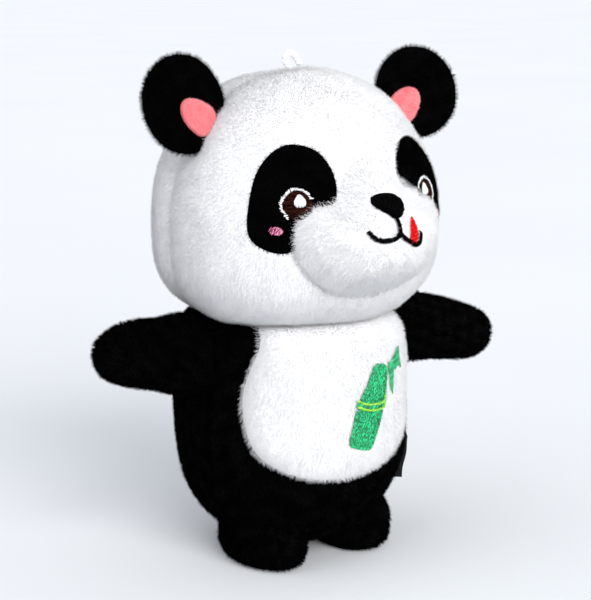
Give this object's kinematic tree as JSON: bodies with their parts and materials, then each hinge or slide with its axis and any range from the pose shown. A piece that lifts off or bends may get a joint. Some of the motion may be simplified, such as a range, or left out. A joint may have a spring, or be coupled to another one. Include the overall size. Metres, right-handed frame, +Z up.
{
  "type": "plush panda",
  "caption": "Small standing plush panda with a round head, stub arms and feet, embroidered face and belly, and a hanging loop.",
  "frame": {"origin": "on the ground, in the middle of the footprint of the whole toy", "axes": "+Z up, the panda faces -Y, its left hand is at +X"},
  "size_m": [0.1512, 0.1014, 0.1657],
  "materials": {
    "white_plush": "matte",
    "black_plush": "matte",
    "pink_velour": "matte",
    "polyester_filling": "matte",
    "black_thread": "satin",
    "brown_thread": "satin",
    "white_thread": "satin",
    "pink_thread": "satin",
    "red_thread": "satin",
    "green_thread": "satin",
    "dark_green_thread": "satin",
    "lime_thread": "satin",
    "loop_cord": "satin",
    "label_satin": "satin"
  },
  "bodies": {
    "torso": {"belly_panel": "white_plush", "body_side_panel_left": "black_plush", "body_side_panel_right": "black_plush", "body_filling": "polyester_filling", "back_closing_stitches": "black_thread", "bamboo_stalk_lower": "green_thread", "bamboo_stalk_upper": "green_thread", "bamboo_ring": "lime_thread", "bamboo_leaf_long": "dark_green_thread", "bamboo_leaf_short": "dark_green_thread", "foot_skin_left": "black_plush", "foot_filling_left": "polyester_filling", "foot_skin_right": "black_plush", "foot_filling_right": "polyester_filling"},
    "head": {"face_panel": "white_plush", "head_back_panel_left": "white_plush", "head_back_panel_right": "white_plush", "head_filling": "polyester_filling", "muzzle_cover": "white_plush", "muzzle_filling": "polyester_filling", "nose": "black_thread", "mouth": "black_thread", "tongue": "red_thread", "eye_patch_left": "black_plush", "iris_left": "brown_thread", "eye_arc_left": "white_thread", "eye_highlight_left": "white_thread", "cheek_spot_left": "pink_thread", "eye_patch_right": "black_plush", "iris_right": "brown_thread", "eye_arc_right": "white_thread", "eye_highlight_right": "white_thread", "cheek_spot_right": "pink_thread"},
    "arm_left": {"arm_skin_left": "black_plush", "arm_filling_left": "polyester_filling"},
    "arm_right": {"arm_skin_right": "black_plush", "arm_filling_right": "polyester_filling"},
    "ear_left": {"ear_front_left": "black_plush", "ear_back_left": "black_plush", "ear_inner_left": "pink_velour"},
    "ear_right": {"ear_front_right": "black_plush", "ear_back_right": "black_plush", "ear_inner_right": "pink_velour"},
    "loop": {"hanging_loop": "loop_cord"},
    "label": {"care_label": "label_satin"}
  },
  "joints": [
    {"name": "neck_nod", "type": "hinge", "parent": "torso", "child": "head", "pos_m": [0, 0.0085, 0.078], "axis": [1, 0, 0], "range_deg": [-6, 6], "stiffness_Nm_per_rad": 0.25},
    {"name": "shoulder_left", "type": "hinge", "parent": "torso", "child": "arm_left", "pos_m": [0.0386, 0.01, 0.0705], "axis": [0, -1, 0], "range_deg": [-12, 18], "stiffness_Nm_per_rad": 0.02},
    {"name": "shoulder_right", "type": "hinge", "parent": "torso", "child": "arm_right", "pos_m": [-0.0386, 0.01, 0.0705], "axis": [0, 1, 0], "range_deg": [-12, 18], "stiffness_Nm_per_rad": 0.02},
    {"name": "ear_fold_left", "type": "hinge", "parent": "head", "child": "ear_left", "pos_m": [0.0371, 0.004, 0.1437], "axis": [0.6302, -0.2419, -0.7378], "range_deg": [-20, 20], "stiffness_Nm_per_rad": 0.01},
    {"name": "ear_fold_right", "type": "hinge", "parent": "head", "child": "ear_right", "pos_m": [-0.0371, 0.004, 0.1437], "axis": [0.6302, 0.2419, 0.7378], "range_deg": [-20, 20], "stiffness_Nm_per_rad": 0.01},
    {"name": "loop_flop", "type": "hinge", "parent": "head", "child": "loop", "pos_m": [0, 0.009, 0.1611], "axis": [1, 0, 0], "range_deg": [-25, 40], "stiffness_Nm_per_rad": 0.002},
    {"name": "label_flap", "type": "hinge", "parent": "torso", "child": "label", "pos_m": [0.0373, 0.012, 0.0221], "axis": [0.1736, 0, 0.9848], "range_deg": [-60, 25], "stiffness_Nm_per_rad": 0.0004}
  ]
}
